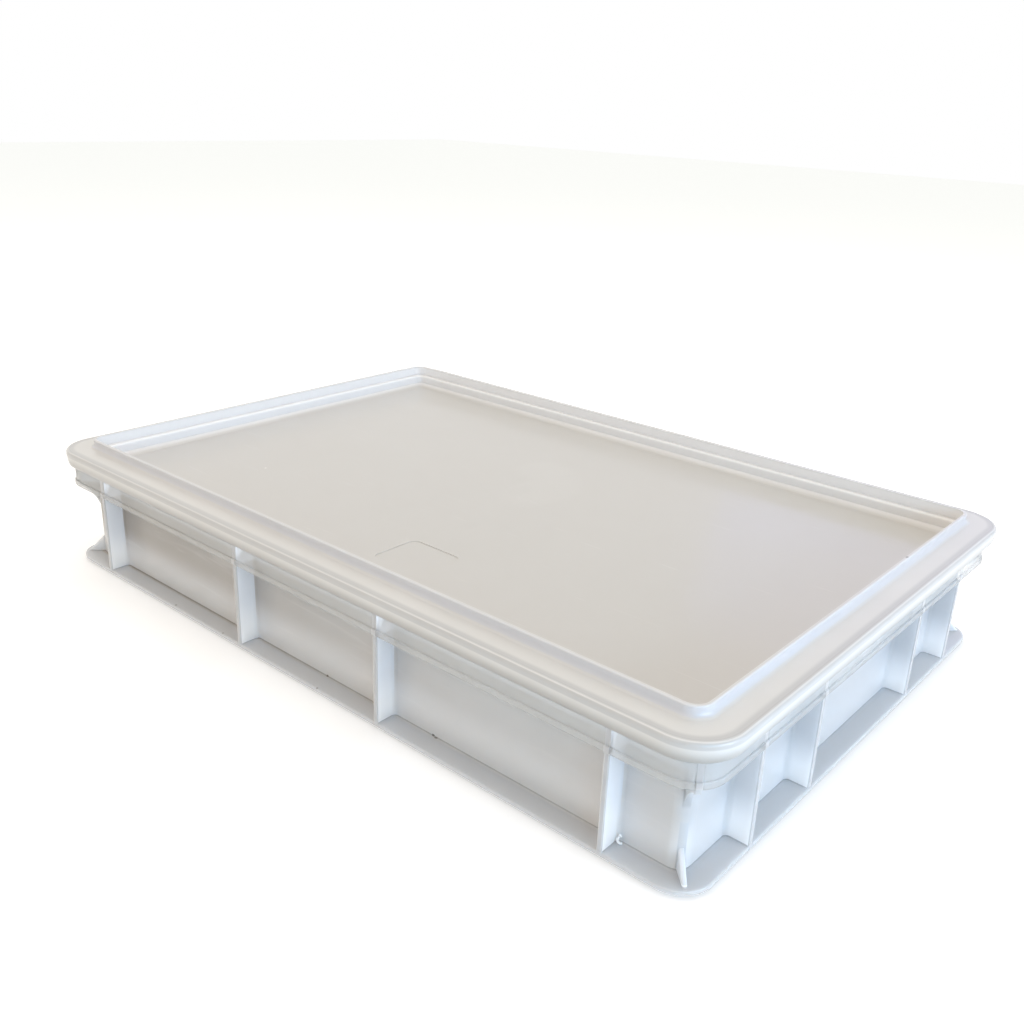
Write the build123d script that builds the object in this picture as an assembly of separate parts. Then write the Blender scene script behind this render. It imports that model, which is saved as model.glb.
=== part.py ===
from build123d import *
import math
import os

# Dough proofing container, a tray and its lift-off lid, in millimetres.
# The origin is on the ground under the middle of the tray's foot. X is the long way and Z is up.

# Base flange, the stated 600 by 400 footprint that the ribs and the band are flush with
format_length = 600.0
format_width = 400.0
format_corner = 21.0
flange_thickness = 2.5
flange_edge = 0.9

# Walls, set in from the flange all round
reach = 15.0
wall_thickness = 2.5
wall_corner = 9.0
wall_length = format_length - 2 * reach
wall_width = format_width - 2 * reach
inner_length = wall_length - 2 * wall_thickness
inner_width = wall_width - 2 * wall_thickness
inner_corner = wall_corner - wall_thickness
floor_thickness = 2.5
floor_curve = 6.0

# Heights above the ground. A stack of containers grows by one pitch with each.
foot_height = 3.0
stack_pitch = 100.0
lip_top = stack_pitch + foot_height
lip_height = 10.6
seat_height = lip_top - lip_height
flange_top = foot_height + flange_thickness

# Outside ribs, two a set way from the middle of each wall and two a set way in from its ends
rib_thickness = 3.0
rib_root = 3.0
middle_rib = 71.0
long_end_gap = 41.0
short_end_gap = 45.0
long_end_rib = wall_length / 2 - long_end_gap
short_end_rib = wall_width / 2 - short_end_gap
long_side_ribs = (-long_end_rib, -middle_rib, middle_rib, long_end_rib)
short_side_ribs = (-short_end_rib, -middle_rib, middle_rib, short_end_rib)

# Top plate of the tray and the band that hangs from its edge
plate_thickness = 2.5
plate_low = seat_height - plate_thickness
band_thickness = 2.5
band_height = 25.4
band_low = seat_height - band_height
band_edge = 1.5
bead_height = 4.5
bead_reach = 1.0
mouth_edge = 1.0

# Fins on the diagonal at each corner, below and above
fin_thickness = 3.0
fin_edge = 1.2
low_fin_reach = 13.8
low_fin_height = 13.8
high_fin_drop = 20.0
high_fin_end_drop = 3.0
high_fin_mid_drop = 9.9
high_fin_mid_out = 5.9
high_fin_low = band_low - high_fin_drop
high_fin_end = band_low - high_fin_end_drop
high_fin_mid = band_low - high_fin_mid_drop
fin_inset = 0.5
fin_root = 1.5

# Lip on the lid that the next container's foot drops into
lip_in_from_ends = 14.0
lip_in_from_sides = 15.0
lip_length = format_length - 2 * lip_in_from_ends
lip_width = format_width - 2 * lip_in_from_sides
lip_corner = 11.0
lip_thickness = 2.2
lip_edge = 0.9
lip_root = 3.5
foot_clearance = 0.8
foot_length = lip_length - 2 * (lip_thickness + foot_clearance)
foot_width = lip_width - 2 * (lip_thickness + foot_clearance)
foot_corner = lip_corner - lip_thickness - foot_clearance
foot_edge = 2.0

# Overhanging rim of the lid, one sheet that is flat on top and ends in a rounded nose
lid_thickness = 2.3
rim_reach = 20.75
rim_length = lip_length + 2 * rim_reach
rim_width = lip_width + 2 * rim_reach
rim_corner = 29.75
rim_rise = 4.1
rim_drop = 8.5
rim_top = seat_height + rim_rise
rim_low = seat_height - rim_drop
rim_under = rim_top - lid_thickness
nose_round = 2.4
nose_depth = 2.55
nose_high = rim_top - nose_round
rim_root = 1.8

# Sunken panel of the lid, which drops into the tray's mouth
ledge_top = seat_height + lid_thickness
ledge_round = 1.8
mouth_clearance = 1.3
pan_length = inner_length - 2 * mouth_clearance
pan_width = inner_width - 2 * mouth_clearance
pan_corner = 6.4
recess_length = pan_length - 2 * lid_thickness
recess_width = pan_width - 2 * lid_thickness
recess_corner = 5.2
recess_drop = 4.9
panel_drop = 8.1
recess_low = seat_height - recess_drop
panel_top = seat_height - panel_drop
panel_under = panel_top - lid_thickness
panel_border = 7.2
panel_corner = 2.0
panel_blend = 6.0

# Bare shallow pocket near the front of the lid's panel
pocket_length = 45.0
pocket_width = 40.0
pocket_corner = 6.0
pocket_depth = 0.5
pocket_x = 34.5
pocket_in_from_front = 70.5
pocket_y = pocket_in_from_front - format_width / 2

# Share of a length that two edges may differ by and still count as one level
level_share = 1e-5


def block(length, width, corner, low, high):
    """A slab with rounded corners, between two heights."""
    outline = RectangleRounded(length, width, corner)
    return extrude(Pos(0, 0, low) * outline, amount=high - low)


def level(solid, height):
    """The edges that lie at one height."""
    slack = level_share * format_length
    return solid.edges().filter_by_position(Axis.Z, height - slack, height + slack)


def rounded(solid, height, radius):
    """The slab with the edge at one height rounded off."""
    return fillet(level(solid, height), radius)


def corner_point(length, width, corner):
    """Where the diagonal of a corner crosses its arc, for a rounded outline."""
    in_from_side = corner * (1 - math.sqrt(0.5))
    return Vector(length / 2 - in_from_side, width / 2 - in_from_side, 0)


def fin(points_and_arc, root):
    """A thin plate that stands on the diagonal, from its outline in distance out and height."""
    outline = make_face(points_and_arc)
    diagonal = Plane(origin=root, x_dir=(1, 1, 0), z_dir=(1, -1, 0))
    return extrude(diagonal * outline, amount=fin_thickness / 2, both=True)


def four_corners(solid):
    """The solid at one corner and its mirror images at the others."""
    pair = solid + mirror(solid, about=Plane.YZ)
    return pair + mirror(pair, about=Plane.XZ)


def ribbed_walls():
    """The walls and their ribs as one outline with rounded roots, drawn up to the top plate."""
    outline = RectangleRounded(wall_length, wall_width, wall_corner)
    for x in long_side_ribs:
        outline += Pos(x, 0) * Rectangle(rib_thickness, format_width)
    for y in short_side_ribs:
        outline += Pos(0, y) * Rectangle(format_length, rib_thickness)
    slack = level_share * format_length
    roots = []
    for corner in outline.vertices():
        on_long_side = abs(abs(corner.Y) - wall_width / 2) < slack
        on_short_side = abs(abs(corner.X) - wall_length / 2) < slack
        inside_long = abs(corner.X) < max(long_side_ribs) + rib_thickness
        inside_short = abs(corner.Y) < max(short_side_ribs) + rib_thickness
        if (on_long_side and inside_long) or (on_short_side and inside_short):
            roots.append(corner)
    outline = fillet(roots, rib_root)
    return extrude(Pos(0, 0, foot_height) * outline, amount=plate_low - foot_height)


def flange():
    """The base flange with its edge rounded over."""
    slab = block(format_length, format_width, format_corner, foot_height, flange_top)
    return rounded(slab, flange_top, flange_edge)


def band():
    """The top plate and the band that hangs from its edge, with a bead along the lower edge."""
    outer = block(format_length, format_width, format_corner, band_low, seat_height)
    outer = rounded(outer, seat_height, band_edge)
    bead_length = format_length + 2 * bead_reach
    bead_width = format_width + 2 * bead_reach
    bead_corner = format_corner + bead_reach
    bead_top = band_low + bead_height
    bead = block(bead_length, bead_width, bead_corner, band_low, bead_top)
    bead = rounded(bead, bead_top, bead_reach)
    bead = rounded(bead, band_low, bead_reach)
    behind_length = format_length - 2 * band_thickness
    behind_width = format_width - 2 * band_thickness
    behind_corner = format_corner - band_thickness
    behind = block(behind_length, behind_width, behind_corner, band_low - bead_height, plate_low)
    return outer + bead - behind


def low_fins():
    """The three-cornered fins that brace the flange at the corners."""
    root = corner_point(wall_length, wall_width, wall_corner)
    outline = Polyline(
        (-fin_root, foot_height),
        (-fin_root, flange_top + low_fin_height),
        (0, flange_top + low_fin_height),
        (low_fin_reach, flange_top),
        (low_fin_reach, foot_height),
        close=True,
    )
    plate = fin(outline, root)
    sloped = plate.edges().filter_by(lambda edge: abs(edge.tangent_at(0).Z) > level_share)
    sloped = sloped.filter_by(lambda edge: abs(edge.tangent_at(0).Z) < 1 - level_share)
    return four_corners(fillet(sloped, fin_edge))


def high_fins():
    """The hollowed fins that carry the corners of the band."""
    root = corner_point(wall_length, wall_width, wall_corner)
    tip = corner_point(format_length, format_width, format_corner)
    out = math.hypot(tip.X - root.X, tip.Y - root.Y) - fin_inset
    hollow = ThreePointArc((0, high_fin_low), (high_fin_mid_out, high_fin_mid), (out, high_fin_end))
    rest = Polyline(
        (out, high_fin_end),
        (out, plate_low),
        (-fin_root, plate_low),
        (-fin_root, high_fin_low),
        (0, high_fin_low),
    )
    return four_corners(fin(hollow + rest, root))


def tray():
    """The tray: foot, flange, ribbed walls, band and fins round one cavity."""
    foot = block(foot_length, foot_width, foot_corner, 0, flange_top)
    foot = rounded(foot, 0, foot_edge)
    body = foot + flange() + ribbed_walls() + band() + low_fins() + high_fins()
    cavity = block(inner_length, inner_width, inner_corner, floor_thickness, lip_top)
    cavity = rounded(cavity, floor_thickness, floor_curve)
    body = body - cavity
    mouth = level(body, seat_height)
    inside = []
    for edge in mouth:
        middle = edge.position_at(0.5)
        within_length = abs(middle.X) < inner_length / 2 + level_share * format_length
        within_width = abs(middle.Y) < inner_width / 2 + level_share * format_length
        if within_length and within_width:
            inside.append(edge)
    return fillet(inside, mouth_edge)


def rim_section():
    """The rim's sheet from the lip out to its nose, in distance from the corner's axis and height."""
    outside = rim_corner
    inside = rim_corner - rim_reach - rim_root
    nose_start = outside - nose_round
    round_over = nose_round * (1 - math.sqrt(0.5))
    top = Line((inside, rim_top), (nose_start, rim_top))
    over = ThreePointArc(
        (nose_start, rim_top),
        (outside - round_over, rim_top - round_over),
        (outside, nose_high),
    )
    fall = nose_high - rim_low
    outer = EllipticalCenterArc((outside - nose_depth, nose_high), nose_depth, fall, -90, arc_size=90)
    tip = outside - nose_depth
    sheet_in = tip - lid_thickness
    tip_high = rim_low + lid_thickness / 2
    lower = EllipticalCenterArc((tip, tip_high), lid_thickness, tip_high - rim_low, 180, arc_size=90)
    inner = Spline(
        (sheet_in, tip_high),
        (sheet_in + nose_depth, rim_under),
        tangents=((0, 1), (0, 1)),
    )
    under = Line((sheet_in + nose_depth, rim_under), (inside, rim_under))
    back = Line((inside, rim_under), (inside, rim_top))
    return make_face([top, over, outer, lower, inner, under, back])


def rim():
    """The overhanging rim, its section drawn along the sides and turned round the corners."""
    section = Plane.XZ * rim_section()
    half_length = rim_length / 2 - rim_corner
    half_width = rim_width / 2 - rim_corner
    corner = Pos(half_length, half_width, 0) * revolve(section, Axis.Z, 90)
    end = extrude(Pos(half_length, half_width, 0) * section, amount=half_width)
    turned = Rot(0, 0, 90) * section
    side = extrude(Pos(0, half_width, 0) * turned, amount=half_length)
    return four_corners(corner + end + side)


def bowl(length, width, corner, low, border, high, top):
    """A straight-sided bowl whose floor is smaller than its walls by a sloping border."""
    floor = Pos(0, 0, low) * RectangleRounded(length - 2 * border, width - 2 * border, panel_corner)
    wall = Pos(0, 0, high) * RectangleRounded(length, width, corner)
    return loft([floor, wall], ruled=True) + block(length, width, corner, high, top)


def lid():
    """The lid: rim, lip and sunken panel, of one sheet."""
    shell = rim() + block(lip_length, lip_width, lip_corner, seat_height, lip_top)
    root = []
    for edge in level(shell, rim_top):
        middle = edge.position_at(0.5)
        slack = level_share * format_length
        if abs(middle.X) < lip_length / 2 + slack and abs(middle.Y) < lip_width / 2 + slack:
            root.append(edge)
    shell = fillet(root, lip_root)
    shell = rounded(shell, lip_top, lip_edge)
    slope_low = recess_low - lid_thickness
    shell += bowl(pan_length, pan_width, pan_corner, panel_under, panel_border, slope_low, ledge_top)
    mouth_length = lip_length - 2 * lip_thickness
    mouth_width = lip_width - 2 * lip_thickness
    mouth_corner = lip_corner - lip_thickness
    open_top = lip_top + foot_height
    shell -= block(mouth_length, mouth_width, mouth_corner, ledge_top, open_top)
    recess = bowl(
        recess_length, recess_width, recess_corner, panel_top, panel_border, recess_low, open_top
    )
    recess = rounded(recess, panel_top, panel_blend)
    shell -= recess
    ledge = []
    for edge in level(shell, ledge_top):
        middle = edge.position_at(0.5)
        slack = level_share * format_length
        if abs(middle.X) < recess_length / 2 + slack and abs(middle.Y) < recess_width / 2 + slack:
            ledge.append(edge)
    shell = fillet(ledge, ledge_round)
    pocket_low = panel_top - pocket_depth
    pocket = block(pocket_length, pocket_width, pocket_corner, pocket_low, panel_top + panel_blend)
    return shell - Pos(pocket_x, pocket_y, 0) * pocket


os.makedirs("parts", exist_ok=True)
export_step(tray(), "parts/proofing_tray.step")
export_step(lid(), "parts/lid.step")
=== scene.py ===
import math

import bpy
from mathutils import Matrix, Vector


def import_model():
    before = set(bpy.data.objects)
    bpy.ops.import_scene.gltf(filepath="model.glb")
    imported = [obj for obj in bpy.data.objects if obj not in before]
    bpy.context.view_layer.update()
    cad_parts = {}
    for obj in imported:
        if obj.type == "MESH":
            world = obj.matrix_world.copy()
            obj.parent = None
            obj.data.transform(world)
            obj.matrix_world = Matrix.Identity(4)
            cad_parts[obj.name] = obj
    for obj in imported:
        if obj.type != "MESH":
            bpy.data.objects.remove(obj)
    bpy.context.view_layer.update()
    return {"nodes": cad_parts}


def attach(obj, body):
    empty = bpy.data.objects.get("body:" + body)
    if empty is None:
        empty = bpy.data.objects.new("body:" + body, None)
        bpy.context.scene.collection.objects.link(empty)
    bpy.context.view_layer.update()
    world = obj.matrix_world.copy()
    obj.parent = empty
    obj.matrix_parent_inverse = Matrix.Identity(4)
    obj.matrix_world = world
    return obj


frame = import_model()

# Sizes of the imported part, in metres
WALL_X, WALL_Y = 0.285, 0.185
FORMAT_X, FORMAT_Y, FORMAT_CORNER = 0.300, 0.200, 0.021
LONG_RIBS, SHORT_RIBS = (0.071, 0.244), (0.071, 0.140)
FLANGE_TOP = 0.0055
BAND_LOW = 0.067
RIM_TOP = 0.0965
LIP_TOP = 0.103
RIM_LOW = 0.0839
PANEL_TOP = 0.0843
PLATE_LOW = 0.0899
LIP_INNER_X, LIP_INNER_Y, LIP_INNER_CORNER = 0.2838, 0.1828, 0.0088
RIM_X, RIM_Y, RIM_CORNER = 0.30675, 0.20575, 0.02975
# distance inside the rim's outline, half width, strength and tint of each painted line
RIM_PAINTED_LINES = [
    # two lines of painted shade, then one painted highlight
    (-0.0020, 0.0060, 0.58, (0.44, 0.44, 0.44)),
    (-0.0030, 0.0005, 0.40, (0.42, 0.42, 0.42)),
    (-0.0014, 0.0006, 0.30, (0.95, 0.94, 0.92)),
]
# where the band's inner face and the middle of the walls lie, from the format's outline
BAND_INSIDE, WALL_MIDDLE = (-0.0029, -0.0027), (-0.0172, -0.0164)
BAND_SHEET, BAND_GAP = 0.0027, 0.0123
# how clear the band's two faces are, and the painted glow of what lies behind it
INNER_CLEAR, OUTER_CLEAR = 0.88, 0.42
PAINTED_GLOW_COLOUR, WALL_PAINTED_GLOW = (0.78, 0.87, 1.0, 1.0), 0.28
CURL_AT = (0.2480, -0.1872, 0.0062)
CURL_STRAND = 0.0007
CURL_SPIRAL = {"Rotations": 1.2, "Start Radius": 0.0014, "End Radius": 0.0004, "Height": 0.0055}

# Stage
FLOOR_HALF = 6.0
FLOOR_GLOW, FLOOR_SEEN_GLOW = 0.15, 0.16
WORLD_COLOUR, WORLD_STRENGTH = (0.99, 1.0, 0.95, 1.0), 0.715
CAMERA_AT = (0.49048, -0.57177, 0.37200)
CAMERA_HEADING, CAMERA_TILT, CAMERA_ROLL = 40.274, 21.782, 2.256
CAMERA_LENS, CAMERA_SENSOR = 36.76, 36.0


# Node helpers
def new_node(tree, kind, **values):
    """Adds a node, and sets its properties and its unlinked inputs by name or number."""
    node = tree.nodes.new(kind)
    inputs = values.pop("inputs", {})
    for name, value in values.items():
        setattr(node, name, value)
    for name, value in inputs.items():
        node.inputs[name].default_value = value
    return node


def link(tree, a, b):
    tree.links.new(a, b)


def math_node(tree, operation, a, b=None, clamp=False):
    """A math node on sockets or numbers, and its output."""
    node = new_node(tree, "ShaderNodeMath", operation=operation, use_clamp=clamp)
    for index, value in enumerate((a, b)):
        if value is None:
            continue
        if isinstance(value, bpy.types.NodeSocket):
            link(tree, value, node.inputs[index])
        else:
            node.inputs[index].default_value = value
    return node.outputs[0]


def times(tree, a, b):
    """The product of two sockets or numbers."""
    return math_node(tree, "MULTIPLY", a, b)


def white_rays(tree):
    """1 for the rays that see the plain white ground: from the camera, off gloss and through clear parts."""
    path = new_node(tree, "ShaderNodeLightPath")
    seen = math_node(tree, "MAXIMUM", path.outputs["Is Camera Ray"], path.outputs["Is Glossy Ray"])
    return math_node(tree, "MAXIMUM", seen, path.outputs["Is Transmission Ray"])


def ramp(tree, value, start, end, low=0.0, high=1.0, smooth=True):
    """Maps a value from one range to another, clamped, with soft ends."""
    node = new_node(tree, "ShaderNodeMapRange", clamp=True)
    node.interpolation_type = "SMOOTHSTEP" if smooth else "LINEAR"
    link(tree, value, node.inputs["Value"])
    for name, number in zip(("From Min", "From Max", "To Min", "To Max"), (start, end, low, high)):
        node.inputs[name].default_value = number
    return node.outputs[0]


def mix_value(tree, factor, a, b):
    """Blends two plain numbers by a factor socket."""
    node = new_node(tree, "ShaderNodeMix", data_type="FLOAT")
    link(tree, factor, node.inputs[0])
    node.inputs[2].default_value = a
    node.inputs[3].default_value = b
    return node.outputs[0]


def mix_colour(tree, factor, a, b, blend="MIX"):
    """A colour mix whose factor and colours are sockets or plain values."""
    node = new_node(tree, "ShaderNodeMix", data_type="RGBA", blend_type=blend)
    for socket, value in ((node.inputs[0], factor), (node.inputs[6], a), (node.inputs[7], b)):
        if isinstance(value, bpy.types.NodeSocket):
            link(tree, value, socket)
        else:
            socket.default_value = value
    return node.outputs[2]


def new_group(name, outputs, inputs=()):
    """An empty shader node group with its sockets, and its input and output nodes."""
    tree = bpy.data.node_groups.new(name, "ShaderNodeTree")
    for label, kind, default in inputs:
        socket = tree.interface.new_socket(label, in_out="INPUT", socket_type=kind)
        socket.default_value = default
    for label, kind in outputs:
        tree.interface.new_socket(label, in_out="OUTPUT", socket_type=kind)
    return tree, tree.nodes.new("NodeGroupInput"), tree.nodes.new("NodeGroupOutput")


def use_group(tree, group, **inputs):
    """Places a node group in a tree."""
    node = tree.nodes.new("ShaderNodeGroup")
    node.node_tree = group
    for name, value in inputs.items():
        node.inputs[name].default_value = value
    return node


# Shared node groups
def mould_surface_group():
    """Clouding, fine grain and faint flow marks of moulded polyethylene."""
    tree, _, out = new_group(
        "Mould Surface",
        [("Cloud", "NodeSocketFloat"), ("Grain", "NodeSocketFloat"), ("Flow", "NodeSocketFloat")],
    )
    place = new_node(tree, "ShaderNodeTexCoord").outputs["Object"]
    cloud = new_node(tree, "ShaderNodeTexNoise", inputs={"Scale": 9.0, "Detail": 3.0, "Roughness": 0.55})
    link(tree, place, cloud.inputs["Vector"])
    grain = new_node(tree, "ShaderNodeTexNoise", inputs={"Scale": 900.0, "Detail": 4.0, "Roughness": 0.6})
    link(tree, place, grain.inputs["Vector"])
    stretch = new_node(tree, "ShaderNodeMapping", inputs={"Scale": (14.0, 60.0, 160.0)})
    link(tree, place, stretch.inputs["Vector"])
    flow = new_node(tree, "ShaderNodeTexNoise", inputs={"Scale": 1.0, "Detail": 2.0, "Distortion": 0.4})
    link(tree, stretch.outputs[0], flow.inputs["Vector"])
    link(tree, cloud.outputs[0], out.inputs["Cloud"])
    link(tree, grain.outputs[0], out.inputs["Grain"])
    link(tree, flow.outputs[0], out.inputs["Flow"])
    return tree


def spot_group():
    """One spot: a soft ellipsoid round a place, 1 inside and 0 outside."""
    tree, source, out = new_group(
        "Spot",
        [("Mask", "NodeSocketFloat")],
        [
            ("Centre", "NodeSocketVector", (0.0, 0.0, 0.0)),
            ("Size", "NodeSocketVector", (0.001, 0.001, 0.001)),
            ("Edge", "NodeSocketFloat", 0.4),
        ],
    )
    place = new_node(tree, "ShaderNodeTexCoord").outputs["Object"]
    away = new_node(tree, "ShaderNodeVectorMath", operation="SUBTRACT")
    link(tree, place, away.inputs[0])
    link(tree, source.outputs["Centre"], away.inputs[1])
    scaled = new_node(tree, "ShaderNodeVectorMath", operation="DIVIDE")
    link(tree, away.outputs[0], scaled.inputs[0])
    link(tree, source.outputs["Size"], scaled.inputs[1])
    length = new_node(tree, "ShaderNodeVectorMath", operation="LENGTH")
    link(tree, scaled.outputs[0], length.inputs[0])
    inner = math_node(tree, "SUBTRACT", 1.0, source.outputs["Edge"])
    edge = new_node(tree, "ShaderNodeMapRange", clamp=True, interpolation_type="SMOOTHSTEP")
    link(tree, length.outputs["Value"], edge.inputs["Value"])
    link(tree, inner, edge.inputs["From Min"])
    edge.inputs["From Max"].default_value = 1.0
    edge.inputs["To Min"].default_value = 1.0
    edge.inputs["To Max"].default_value = 0.0
    link(tree, edge.outputs[0], out.inputs["Mask"])
    return tree


def dust_group():
    """Thin dust and rub marks that lie on faces which look up."""
    tree, _, out = new_group("Dust", [("Mask", "NodeSocketFloat"), ("Scratch", "NodeSocketFloat")])
    coords = new_node(tree, "ShaderNodeTexCoord")
    place = coords.outputs["Object"]
    geometry = new_node(tree, "ShaderNodeNewGeometry")
    split = new_node(tree, "ShaderNodeSeparateXYZ")
    link(tree, geometry.outputs["Normal"], split.inputs[0])
    upward = ramp(tree, split.outputs["Z"], 0.3, 0.95)
    patch = new_node(tree, "ShaderNodeTexNoise", inputs={"Scale": 24.0, "Detail": 5.0, "Roughness": 0.65})
    link(tree, place, patch.inputs["Vector"])
    dust = ramp(tree, patch.outputs[0], 0.28, 0.80)
    link(tree, times(tree, dust, upward), out.inputs["Mask"])
    turned = new_node(tree, "ShaderNodeMapping")
    turned.inputs["Rotation"].default_value = (0.0, 0.0, 0.6)
    turned.inputs["Scale"].default_value = (18.0, 420.0, 60.0)
    link(tree, place, turned.inputs["Vector"])
    lines = new_node(tree, "ShaderNodeTexNoise", inputs={"Scale": 1.0, "Detail": 2.0, "Roughness": 0.5})
    link(tree, turned.outputs[0], lines.inputs["Vector"])
    scratch = ramp(tree, lines.outputs[0], 0.67, 0.74)
    link(tree, scratch, out.inputs["Scratch"])
    return tree


def outline_group():
    """How far a point is outside a rectangle with rounded corners, seen from above: less than 0 inside."""
    tree, source, out = new_group(
        "Outline Distance",
        [("Distance", "NodeSocketFloat")],
        [("Half", "NodeSocketVector", (0.3, 0.2, 0.0)), ("Corner", "NodeSocketFloat", 0.02)],
    )
    place = new_node(tree, "ShaderNodeTexCoord").outputs["Object"]
    mirrored = new_node(tree, "ShaderNodeVectorMath", operation="ABSOLUTE")
    link(tree, place, mirrored.inputs[0])
    flat = new_node(tree, "ShaderNodeVectorMath", operation="MULTIPLY")
    link(tree, mirrored.outputs[0], flat.inputs[0])
    flat.inputs[1].default_value = (1.0, 1.0, 0.0)
    past = new_node(tree, "ShaderNodeVectorMath", operation="SUBTRACT")
    link(tree, flat.outputs[0], past.inputs[0])
    link(tree, source.outputs["Half"], past.inputs[1])
    split = new_node(tree, "ShaderNodeSeparateXYZ")
    link(tree, past.outputs[0], split.inputs[0])
    past_x = math_node(tree, "ADD", split.outputs["X"], source.outputs["Corner"])
    past_y = math_node(tree, "ADD", split.outputs["Y"], source.outputs["Corner"])
    joined = new_node(tree, "ShaderNodeCombineXYZ")
    link(tree, math_node(tree, "MAXIMUM", past_x, 0.0), joined.inputs["X"])
    link(tree, math_node(tree, "MAXIMUM", past_y, 0.0), joined.inputs["Y"])
    length = new_node(tree, "ShaderNodeVectorMath", operation="LENGTH")
    link(tree, joined.outputs[0], length.inputs[0])
    inner = math_node(tree, "MINIMUM", math_node(tree, "MAXIMUM", past_x, past_y), 0.0)
    total = math_node(tree, "ADD", length.outputs["Value"], inner)
    link(tree, math_node(tree, "SUBTRACT", total, source.outputs["Corner"]), out.inputs["Distance"])
    return tree


def rib_group():
    """Edge: where a rib or a corner fin meets the outer faces. Near: distance to a rib. Depth: how far in."""
    tree, _, out = new_group(
        "Ribs",
        [
            ("Edge", "NodeSocketFloat"),
            ("Fin", "NodeSocketFloat"),
            ("Near", "NodeSocketFloat"),
            ("Depth", "NodeSocketFloat"),
        ],
    )
    place = new_node(tree, "ShaderNodeTexCoord").outputs["Object"]
    mirrored = new_node(tree, "ShaderNodeVectorMath", operation="ABSOLUTE")
    link(tree, place, mirrored.inputs[0])
    split = new_node(tree, "ShaderNodeSeparateXYZ")
    link(tree, mirrored.outputs[0], split.inputs[0])
    x, y = split.outputs["X"], split.outputs["Y"]

    def away(value, places):
        first, second = (
            math_node(tree, "ABSOLUTE", math_node(tree, "SUBTRACT", value, at)) for at in places
        )
        return math_node(tree, "MINIMUM", first, second)

    # only the ribs of the wall that a point lies at
    off_long = ramp(tree, y, WALL_Y, WALL_Y + 0.0005, 1.0, 0.0, smooth=False)
    off_short = ramp(tree, x, WALL_X, WALL_X + 0.0005, 1.0, 0.0, smooth=False)
    long_ribs = math_node(tree, "ADD", away(x, LONG_RIBS), off_long)
    short_ribs = math_node(tree, "ADD", away(y, SHORT_RIBS), off_short)
    ribs = math_node(tree, "MINIMUM", long_ribs, short_ribs)
    across = math_node(tree, "ADD", math_node(tree, "SUBTRACT", x, y), FORMAT_Y - FORMAT_X)
    fins = times(tree, math_node(tree, "ABSOLUTE", across), math.sqrt(0.5))
    nearest = math_node(tree, "MINIMUM", ribs, fins)
    link(tree, ramp(tree, nearest, 0.0016, 0.0018, 1.0, 0.0), out.inputs["Edge"])
    link(tree, ramp(tree, fins, 0.0020, 0.0026, 1.0, 0.0), out.inputs["Fin"])
    link(tree, ribs, out.inputs["Near"])
    in_long = math_node(tree, "SUBTRACT", FORMAT_Y, y)
    in_short = math_node(tree, "SUBTRACT", FORMAT_X, x)
    link(tree, math_node(tree, "MINIMUM", in_long, in_short), out.inputs["Depth"])
    return tree


MOULD = mould_surface_group()
OUTLINE = outline_group()
RIBS = rib_group()
SPOT = spot_group()
DUST = dust_group()


def outline(tree, half_x, half_y, corner):
    """The distance outside a rounded rectangle round the middle."""
    return use_group(tree, OUTLINE, Half=(half_x, half_y, 0.0), Corner=corner).outputs["Distance"]


def spots(tree, places):
    """The largest mask of several spots, each (centre, size)."""
    total = None
    for centre, size in places:
        mask = use_group(tree, SPOT, Centre=centre, Size=size).outputs["Mask"]
        total = mask if total is None else math_node(tree, "MAXIMUM", total, mask)
    return total


# Materials
def start_material(name):
    material = bpy.data.materials.new(name)
    material.use_nodes = True
    tree = material.node_tree
    tree.nodes.clear()
    shader = new_node(tree, "ShaderNodeBsdfPrincipled")
    output = new_node(tree, "ShaderNodeOutputMaterial")
    link(tree, shader.outputs[0], output.inputs["Surface"])
    return material, tree, shader


TRAY_SPECKS = [
    ((0.1068, -0.1850, 0.0060), (0.0016, 0.0012, 0.0009)),
    ((0.1094, -0.1855, 0.0052), (0.0016, 0.0012, 0.0009)),
    ((-0.1539, -0.1981, 0.0055), (0.0011, 0.0011, 0.0011)),
    ((-0.0925, -0.1989, 0.0055), (0.0009, 0.0009, 0.0009)),
    ((0.0067, -0.1850, 0.0058), (0.0013, 0.0011, 0.0010)),
    ((0.0134, -0.1994, 0.0055), (0.0009, 0.0009, 0.0009)),
]
FAINT_SPECKS = [
    ((-0.0824, -0.1850, 0.0138), (0.0016, 0.0010, 0.0012)),
    ((-0.0560, -0.2000, 0.0740), (0.0012, 0.0012, 0.0012)),
]
LIP_NICK_SHADES = [((0.2845, 0.0685, 0.1024), (0.0012, 0.0022, 0.0014))]
PALE_SPECKS = [((-0.1760, -0.0950, PANEL_TOP), (0.0012, 0.0012, 0.0012))]
PANEL_SMUDGES = [
    ((0.0217, -0.0643, PANEL_TOP), (0.0060, 0.0110, 0.0020)),
    ((0.0000, 0.0158, PANEL_TOP), (0.0090, 0.0160, 0.0020)),
]
PANEL_RUBS = [
    ((-0.0164, 0.0665, PANEL_TOP), (0.0260, 0.0300, 0.0020)),
    ((0.0120, 0.0300, PANEL_TOP), (0.0300, 0.0500, 0.0020)),
]


def paint(tree, colour, mask, amount, over):
    """Mixes a colour over another by a mask and an amount."""
    return mix_colour(tree, times(tree, mask, amount), colour, (*over, 1.0))


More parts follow.
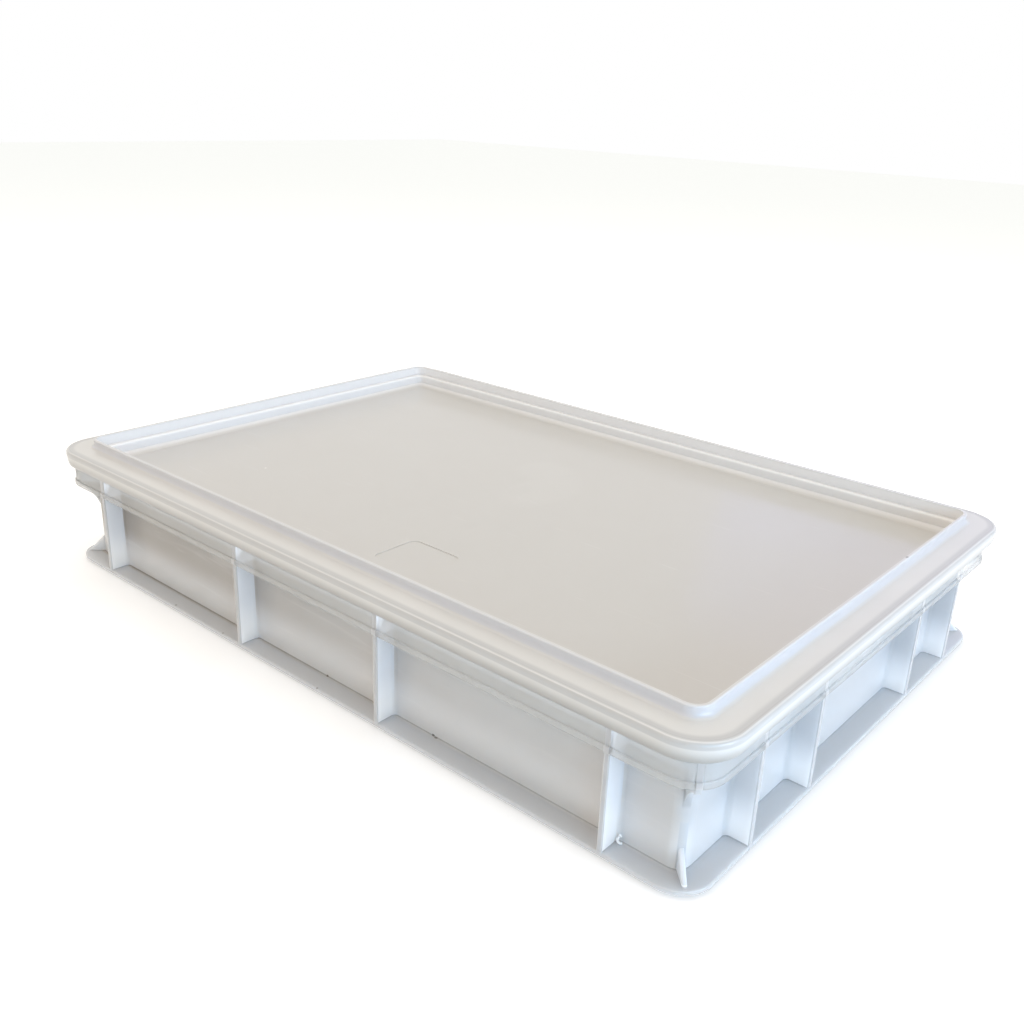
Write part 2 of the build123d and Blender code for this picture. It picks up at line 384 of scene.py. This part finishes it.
# each tint's amount and colour
TRAY_TINTS = {
    # painted shade: the left end darker and warmer
    "left_end_shade": (0.95, (0.35, 0.322, 0.29)),
    "flow": (0.25, (0.72, 0.715, 0.70)),
    # painted shade: the end near the window light darker and bluer
    "window_end_shade": (0.6, (0.49, 0.52, 0.56)),
    # painted light: the ribs' side faces lighter and bluer
    "rib_face_light": (0.95, (0.70, 0.735, 0.80)),
    "foot_light": (1.0, (0.95, 0.97, 1.0)),
    # painted shade: the outer edges below the band darker grey
    "outer_edge_shade": (0.9, (0.38, 0.385, 0.395)),
    # painted shade: the flange's top face darker
    "flange": (0.95, (0.50, 0.51, 0.525)),
    "dust": (0.12, (0.56, 0.54, 0.50)),
    "specks": (0.75, (0.12, 0.10, 0.08)),
    "faint_specks": (0.30, (0.30, 0.26, 0.22)),
    # painted shade: the low corner fins darker and bluer
    "low_fin_shade": (0.7, (0.54, 0.58, 0.63)),
    # painted shade: the upper corner fins darker
    "high_fin_shade": (0.8, (0.42, 0.44, 0.46)),
    "band_face": (0.9, (0.475, 0.475, 0.46)),
    "band_ribs": (0.95, (0.46, 0.46, 0.465)),
}


def tray_material():
    """Natural polyethylene of the tray: cloudy and satin, with a band thin enough for the ribs to show."""
    material, tree, shader = start_material("tray_plastic_look")
    mould = use_group(tree, MOULD)
    dust = use_group(tree, DUST)
    outside = outline(tree, FORMAT_X, FORMAT_Y, FORMAT_CORNER)
    ribs = use_group(tree, RIBS)
    rib_edges = ribs.outputs["Edge"]
    split = new_node(tree, "ShaderNodeSeparateXYZ")
    link(tree, new_node(tree, "ShaderNodeTexCoord").outputs["Object"], split.inputs[0])
    height = split.outputs["Z"]
    cloud = ramp(tree, mould.outputs["Cloud"], 0.35, 0.65)
    colour = mix_colour(tree, cloud, (0.59, 0.595, 0.60, 1.0), (0.62, 0.625, 0.63, 1.0))
    # the tray is painted darker and warmer towards its left end: painted shade
    left_end_shade = ramp(tree, split.outputs["X"], -0.26, 0.24, 1.0, 0.0)
    colour = paint(tree, colour, left_end_shade, *TRAY_TINTS["left_end_shade"])
    flow = ramp(tree, mould.outputs["Flow"], 0.55, 0.75)
    colour = paint(tree, colour, flow, *TRAY_TINTS["flow"])
    # the end that faces the window light is painted darker and bluer: painted shade
    window_end_shade = ramp(tree, split.outputs["X"], WALL_X - 0.010, WALL_X)
    colour = paint(tree, colour, window_end_shade, *TRAY_TINTS["window_end_shade"])
    # the side faces of the long sides' ribs are painted lighter and bluer than the walls: painted light
    normal = new_node(tree, "ShaderNodeSeparateXYZ")
    link(tree, new_node(tree, "ShaderNodeNewGeometry").outputs["Normal"], normal.inputs[0])
    side_face = ramp(tree, math_node(tree, "ABSOLUTE", normal.outputs["X"]), 0.6, 0.8)
    rib_face_light = times(tree, side_face, ramp(tree, ribs.outputs["Near"], 0.0020, 0.0024, 1.0, 0.0))
    colour = paint(tree, colour, rib_face_light, *TRAY_TINTS["rib_face_light"])
    # the foot of the walls takes light from the flange, and the outer edges below the band are painted darker
    # grey: painted shade
    foot_light = ramp(tree, height, FLANGE_TOP, 0.042, 1.0, 0.0)
    foot_light = times(tree, foot_light, ramp(tree, height, FLANGE_TOP + 0.0002, FLANGE_TOP + 0.0008))
    # neither this light nor the painted glow behind the band reaches the inside of the walls
    outer_side = ramp(tree, outside, *WALL_MIDDLE)
    foot_light = times(tree, foot_light, outer_side)
    colour = paint(tree, colour, foot_light, *TRAY_TINTS["foot_light"])
    low = ramp(tree, height, BAND_LOW - 0.0006, BAND_LOW - 0.0001, 1.0, 0.0)
    outer_edge_shade = times(tree, low, ramp(tree, outside, -0.0012, -0.0006))
    colour = paint(tree, colour, outer_edge_shade, *TRAY_TINTS["outer_edge_shade"])
    # the flange's top face is painted darker: painted shade
    flange = ramp(tree, height, FLANGE_TOP, FLANGE_TOP + 0.0008, 1.0, 0.0)
    flange = times(tree, ramp(tree, outside, -0.0145, -0.0120), flange)
    colour = paint(tree, colour, flange, *TRAY_TINTS["flange"])
    colour = paint(tree, colour, dust.outputs["Mask"], *TRAY_TINTS["dust"])
    colour = paint(tree, colour, spots(tree, TRAY_SPECKS), *TRAY_TINTS["specks"])
    colour = paint(tree, colour, spots(tree, FAINT_SPECKS), *TRAY_TINTS["faint_specks"])
    # the low corner fins are painted darker and bluer: painted shade
    low_fin_shade = times(tree, ribs.outputs["Fin"], ramp(tree, height, 0.034, 0.036, 1.0, 0.0))
    low_fin_shade = times(tree, low_fin_shade, ramp(tree, height, FLANGE_TOP + 0.0005, FLANGE_TOP + 0.0015))
    colour = paint(tree, colour, low_fin_shade, *TRAY_TINTS["low_fin_shade"])
    # the upper corner fins are painted darker: painted shade
    high_fin_shade = times(tree, ribs.outputs["Fin"], ramp(tree, height, BAND_LOW - 0.024, BAND_LOW - 0.021))
    high_fin_shade = times(tree, high_fin_shade, ramp(tree, outside, -0.0190, -0.0180))
    colour = paint(tree, colour, high_fin_shade, *TRAY_TINTS["high_fin_shade"])
    # the band's sheet lets through some of what is behind it
    above_edge = ramp(tree, height, BAND_LOW - 0.0006, BAND_LOW - 0.0003)
    below_plate = ramp(tree, height, PLATE_LOW - 0.0004, PLATE_LOW - 0.0001, 1.0, 0.0)
    in_band = times(tree, above_edge, below_plate)
    sheet = times(tree, in_band, ramp(tree, outside, *BAND_INSIDE, smooth=False))
    outer_face = ramp(tree, outside, -0.0010, -0.0006, smooth=False)
    colour = paint(tree, colour, times(tree, sheet, outer_face), *TRAY_TINTS["band_face"])
    colour = paint(tree, colour, times(tree, sheet, rib_edges), *TRAY_TINTS["band_ribs"])
    link(tree, colour, shader.inputs["Base Color"])
    clear = times(tree, sheet, math_node(tree, "SUBTRACT", 1.0, rib_edges))
    see_through = mix_value(tree, outer_face, INNER_CLEAR, OUTER_CLEAR)
    link(tree, math_node(tree, "SUBTRACT", 1.0, times(tree, clear, see_through)), shader.inputs["Alpha"])
    # painted light: behind the band the milky wall is given a faint glow, and the ribs a stronger one where
    # light falls in from above
    behind = times(tree, in_band, ramp(tree, outside, *BAND_INSIDE, 1.0, 0.0, smooth=False))
    behind = times(tree, behind, outer_side)
    on_rib = times(tree, behind, ramp(tree, ribs.outputs["Near"], 0.0017, 0.0022, 1.0, 0.0))
    sunk = math_node(tree, "DIVIDE", math_node(tree, "SUBTRACT", ribs.outputs["Depth"], BAND_SHEET), BAND_GAP)
    lowered = math_node(tree, "DIVIDE", math_node(tree, "SUBTRACT", PLATE_LOW, height), PLATE_LOW - BAND_LOW)
    lit = ramp(tree, math_node(tree, "ADD", sunk, lowered), 0.70, 1.10, 0.90, 0.0)
    glow = math_node(tree, "MAXIMUM", times(tree, on_rib, lit), times(tree, behind, WALL_PAINTED_GLOW))
    shader.inputs["Emission Color"].default_value = PAINTED_GLOW_COLOUR
    link(tree, glow, shader.inputs["Emission Strength"])
    finish(tree, shader, mould, 0.30, 0.38, 0.010, 1.0)
    return material


# each tint's amount and colour
LID_TINTS = {
    "panel": (0.9, (0.562, 0.548, 0.522)),
    # painted light: the lip's inner faces above the panel lighter
    "border": (0.95, (0.83, 0.83, 0.835)),
    # painted shade: the rim's nose darker towards its low edge
    "nose": (1.0, (0.33, 0.32, 0.30)),
    # painted light: the lip's outer face lighter and bluer
    "lip_face_light": (0.8, (0.67, 0.675, 0.71)),
    "lip_top": (0.4, (0.52, 0.52, 0.52)),
    "dust": (0.08, (0.50, 0.48, 0.45)),
    "scratches": (0.10, (0.85, 0.85, 0.84)),
    "rubs": (0.05, (0.80, 0.80, 0.79)),
    "smudges": (0.05, (0.42, 0.41, 0.39)),
    "pale_specks": (0.6, (0.90, 0.89, 0.86)),
    # painted shade of a nick in the lip's top edge
    "nick_shades": (0.7, (0.16, 0.15, 0.14)),
}


def lid_material():
    """Natural polyethylene of the lid, a little warmer, with soft rub marks on the panel."""
    material, tree, shader = start_material("lid_plastic_look")
    mould = use_group(tree, MOULD)
    dust = use_group(tree, DUST)
    outside = outline(tree, LIP_INNER_X, LIP_INNER_Y, LIP_INNER_CORNER)
    inside = ramp(tree, outside, 0.0, 0.0006, 1.0, 0.0)
    split = new_node(tree, "ShaderNodeSeparateXYZ")
    link(tree, new_node(tree, "ShaderNodeTexCoord").outputs["Object"], split.inputs[0])
    height = split.outputs["Z"]
    cloud = ramp(tree, mould.outputs["Cloud"], 0.35, 0.65)
    colour = mix_colour(tree, cloud, (0.665, 0.655, 0.635, 1.0), (0.69, 0.68, 0.66, 1.0))
    panel = times(tree, inside, ramp(tree, height, PANEL_TOP + 0.0004, PANEL_TOP + 0.0025, 1.0, 0.0))
    colour = paint(tree, colour, panel, *LID_TINTS["panel"])
    # the lip's inner faces above the panel are painted lighter: painted light
    border = times(tree, inside, ramp(tree, height, PANEL_TOP + 0.0010, PANEL_TOP + 0.0035))
    colour = paint(tree, colour, border, *LID_TINTS["border"])
    # the rim's nose is painted darker towards its low edge: painted shade
    nose = ramp(tree, height, RIM_LOW, RIM_LOW + 0.0095, 0.9, 0.0)
    nose = times(tree, nose, math_node(tree, "SUBTRACT", 1.0, inside))
    colour = paint(tree, colour, nose, *LID_TINTS["nose"])
    # lines of painted shade and a painted highlight run round the rim's crown
    crown = outline(tree, RIM_X, RIM_Y, RIM_CORNER)
    above = ramp(tree, height, RIM_TOP - 0.0045, RIM_TOP - 0.0035)
    for middle, half, amount, tint in RIM_PAINTED_LINES:
        near = math_node(tree, "ABSOLUTE", math_node(tree, "SUBTRACT", crown, middle))
        line = times(tree, ramp(tree, near, half * 0.4, half, 1.0, 0.0), above)
        colour = paint(tree, colour, line, amount, tint)
    # the lip's outer face is painted lighter and bluer: painted light; its top edge is a little greyer
    lip_face_light = ramp(tree, height, RIM_TOP + 0.0004, RIM_TOP + 0.0010)
    lip_face_light = times(tree, ramp(tree, outside, 0.0010, 0.0014), lip_face_light)
    colour = paint(tree, colour, lip_face_light, *LID_TINTS["lip_face_light"])
    lip = ramp(tree, height, LIP_TOP - 0.0020, LIP_TOP - 0.0004)
    colour = paint(tree, colour, lip, *LID_TINTS["lip_top"])
    colour = paint(tree, colour, dust.outputs["Mask"], *LID_TINTS["dust"])
    colour = paint(tree, colour, times(tree, panel, dust.outputs["Scratch"]), *LID_TINTS["scratches"])
    colour = paint(tree, colour, spots(tree, PANEL_RUBS), *LID_TINTS["rubs"])
    colour = paint(tree, colour, spots(tree, PANEL_SMUDGES), *LID_TINTS["smudges"])
    colour = paint(tree, colour, spots(tree, PALE_SPECKS), *LID_TINTS["pale_specks"])
    # a small dark spot at a nick in the lip's top edge: painted shade of the nick
    colour = paint(tree, colour, spots(tree, LIP_NICK_SHADES), *LID_TINTS["nick_shades"])
    link(tree, colour, shader.inputs["Base Color"])
    finish(tree, shader, mould, 0.29, 0.36, 0.0025, 0.9)
    return material


def finish(tree, shader, mould, low, high, depth, weight):
    """The satin surface and the milky depth that tray and lid share."""
    link(tree, ramp(tree, mould.outputs["Cloud"], 0.3, 0.7, low, high), shader.inputs["Roughness"])
    bump = new_node(tree, "ShaderNodeBump", inputs={"Strength": 0.08, "Distance": 0.0004})
    link(tree, math_node(tree, "ADD", mould.outputs["Grain"], mould.outputs["Cloud"]), bump.inputs["Height"])
    link(tree, bump.outputs[0], shader.inputs["Normal"])
    shader.inputs["IOR"].default_value = 1.5
    shader.inputs["Coat Weight"].default_value = 0.5
    shader.inputs["Coat Roughness"].default_value = 0.12
    shader.inputs["Subsurface Weight"].default_value = weight
    shader.inputs["Subsurface Radius"].default_value = (1.0, 1.0, 1.0)
    shader.inputs["Subsurface Scale"].default_value = depth


def curl_material():
    """White plastic of the curl, thin enough to stay bright."""
    material, tree, shader = start_material("curl_plastic_look")
    mould = use_group(tree, MOULD)
    cloud = ramp(tree, mould.outputs["Grain"], 0.35, 0.65)
    colour = mix_colour(tree, cloud, (0.90, 0.90, 0.88, 1.0), (0.95, 0.95, 0.94, 1.0))
    link(tree, colour, shader.inputs["Base Color"])
    finish(tree, shader, mould, 0.3, 0.4, 0.001, 0.3)
    return material


def dress(name, material):
    """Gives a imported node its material."""
    mesh = frame["nodes"][name].data
    mesh.materials.clear()
    mesh.materials.append(material)


dress("proofing_tray", tray_material())
dress("lid", lid_material())


# Moulding curl
def moulding_curl():
    """The white curl of moulding flash at the foot of the front's last rib."""
    tree = bpy.data.node_groups.new("Moulding Curl", "GeometryNodeTree")
    tree.interface.new_socket("Geometry", in_out="INPUT", socket_type="NodeSocketGeometry")
    strand = tree.interface.new_socket("Strand", in_out="INPUT", socket_type="NodeSocketFloat")
    tree.interface.new_socket("Geometry", in_out="OUTPUT", socket_type="NodeSocketGeometry")
    source = tree.nodes.new("NodeGroupInput")
    out = tree.nodes.new("NodeGroupOutput")
    spiral = new_node(tree, "GeometryNodeCurveSpiral", inputs={"Resolution": 20})
    for name, value in CURL_SPIRAL.items():
        spiral.inputs[name].default_value = value
    circle = new_node(tree, "GeometryNodeCurvePrimitiveCircle", inputs={"Resolution": 8})
    link(tree, source.outputs["Strand"], circle.inputs["Radius"])
    tube = new_node(tree, "GeometryNodeCurveToMesh", inputs={"Fill Caps": True})
    link(tree, spiral.outputs[0], tube.inputs["Curve"])
    link(tree, circle.outputs[0], tube.inputs["Profile Curve"])
    moved = new_node(tree, "GeometryNodeTransform", inputs={"Translation": CURL_AT})
    link(tree, tube.outputs[0], moved.inputs[0])
    joined = new_node(tree, "GeometryNodeRealizeInstances")
    link(tree, moved.outputs[0], joined.inputs[0])
    dressed = new_node(tree, "GeometryNodeSetMaterial", inputs={"Material": curl_material()})
    link(tree, joined.outputs[0], dressed.inputs[0])
    link(tree, dressed.outputs[0], out.inputs[0])
    draft = bpy.data.objects.new("curl_draft", bpy.data.meshes.new("curl_draft"))
    bpy.context.scene.collection.objects.link(draft)
    modifier = draft.modifiers.new("curl", "NODES")
    modifier.node_group = tree
    modifier[strand.identifier] = CURL_STRAND
    bpy.context.view_layer.update()
    graph = bpy.context.evaluated_depsgraph_get()
    mesh = bpy.data.meshes.new_from_object(draft.evaluated_get(graph), depsgraph=graph)
    mesh.name = "moulding_curl"
    bpy.data.objects.remove(draft)
    for face in mesh.polygons:
        face.use_smooth = True
    piece = bpy.data.objects.new("moulding_curl", mesh)
    bpy.context.scene.collection.objects.link(piece)
    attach(piece, "tray")


moulding_curl()


# Stage
def floor_material():
    """Plain white floor: the camera sees white with the object's soft shadow in it."""
    material, tree, shader = start_material("floor_white")
    place = new_node(tree, "ShaderNodeTexCoord").outputs["Object"]
    grain = new_node(tree, "ShaderNodeTexNoise", inputs={"Scale": 60.0, "Detail": 3.0})
    link(tree, place, grain.inputs["Vector"])
    patches = ramp(tree, grain.outputs[0], 0.3, 0.7)
    colour = mix_colour(tree, patches, (0.90, 0.90, 0.90, 1.0), (0.92, 0.92, 0.92, 1.0))
    link(tree, colour, shader.inputs["Base Color"])
    shader.inputs["Roughness"].default_value = 0.9
    shader.inputs["Specular IOR Level"].default_value = 0.1
    shader.inputs["Emission Color"].default_value = (1.0, 1.0, 1.0, 1.0)
    glow = math_node(tree, "ADD", times(tree, white_rays(tree), FLOOR_SEEN_GLOW), FLOOR_GLOW)
    link(tree, glow, shader.inputs["Emission Strength"])
    return material


def floor():
    mesh = bpy.data.meshes.new("floor")
    corners = [(-1, -1), (1, -1), (1, 1), (-1, 1)]
    mesh.from_pydata([(x * FLOOR_HALF, y * FLOOR_HALF, 0) for x, y in corners], [], [(0, 1, 2, 3)])
    mesh.materials.append(floor_material())
    piece = bpy.data.objects.new("floor", mesh)
    bpy.context.scene.collection.objects.link(piece)


def world():
    """Even soft light, and plain white where the camera looks past the floor."""
    scene_world = bpy.data.worlds.new("studio")
    bpy.context.scene.world = scene_world
    scene_world.use_nodes = True
    tree = scene_world.node_tree
    tree.nodes.clear()
    soft = new_node(tree, "ShaderNodeBackground", inputs={"Color": WORLD_COLOUR, "Strength": WORLD_STRENGTH})
    white = new_node(tree, "ShaderNodeBackground", inputs={"Color": (1.0, 1.0, 1.0, 1.0), "Strength": 1.0})
    mix = new_node(tree, "ShaderNodeMixShader")
    link(tree, white_rays(tree), mix.inputs[0])
    link(tree, soft.outputs[0], mix.inputs[1])
    link(tree, white.outputs[0], mix.inputs[2])
    output = new_node(tree, "ShaderNodeOutputWorld")
    link(tree, mix.outputs[0], output.inputs["Surface"])


def soft_box(name, place, target, size, power, colour):
    """A rectangular area lamp that faces a point."""
    lamp = bpy.data.lights.new(name, "AREA")
    lamp.shape = "RECTANGLE"
    lamp.size, lamp.size_y = size
    lamp.energy = power
    lamp.color = colour
    piece = bpy.data.objects.new(name, lamp)
    piece.location = place
    aim = Vector(target) - Vector(place)
    piece.rotation_euler = aim.to_track_quat("-Z", "Y").to_euler()
    bpy.context.scene.collection.objects.link(piece)


def camera():
    """The photograph's camera, from its place, its heading, its tilt and its roll."""
    lens = bpy.data.cameras.new("camera")
    lens.sensor_width = CAMERA_SENSOR
    lens.lens = CAMERA_LENS
    lens.clip_start = 0.01
    lens.dof.use_dof = False
    piece = bpy.data.objects.new("camera", lens)
    angles = (CAMERA_HEADING, CAMERA_TILT, CAMERA_ROLL)
    azimuth, elevation, roll = (math.radians(angle) for angle in angles)
    back = Vector(
        (
            math.sin(azimuth) * math.cos(elevation),
            -math.cos(azimuth) * math.cos(elevation),
            math.sin(elevation),
        )
    )
    right = (-back).cross(Vector((0, 0, 1))).normalized()
    up = right.cross(-back)
    turned_right = right * math.cos(roll) + up * math.sin(roll)
    turned_up = up * math.cos(roll) - right * math.sin(roll)
    turn = Matrix((turned_right, turned_up, back)).transposed()
    piece.matrix_world = Matrix.Translation(CAMERA_AT) @ turn.to_4x4()
    bpy.context.scene.collection.objects.link(piece)
    bpy.context.scene.camera = piece


floor()
world()
soft_box("top_light", (-0.3, 0.3, 1.9), (0, 0, 0), (2.2, 2.2), 12.8, (1.0, 0.92, 0.87))
soft_box("front_light", (0.1, -1.5, 1.5), (0, 0, 0), (1.4, 0.8), 4.8, (1.0, 0.50, 0.14))
soft_box("right_light", (1.9, -0.05, 0.35), (0, 0, 0.05), (1.2, 0.5), 17.4, (0.66, 0.79, 1.0))
soft_box("window_light", (1.0, -0.6, 0.3), (0.27, -0.18, 0.04), (0.4, 0.3), 1.5, (0.08, 0.56, 1.0))
soft_box("back_light", (0.1, 1.6, 0.7), (0, 0, 0.08), (1.6, 0.7), 1.3, (0.10, 0.20, 1.0))
camera()

scene = bpy.context.scene
scene.view_settings.view_transform = "Standard"
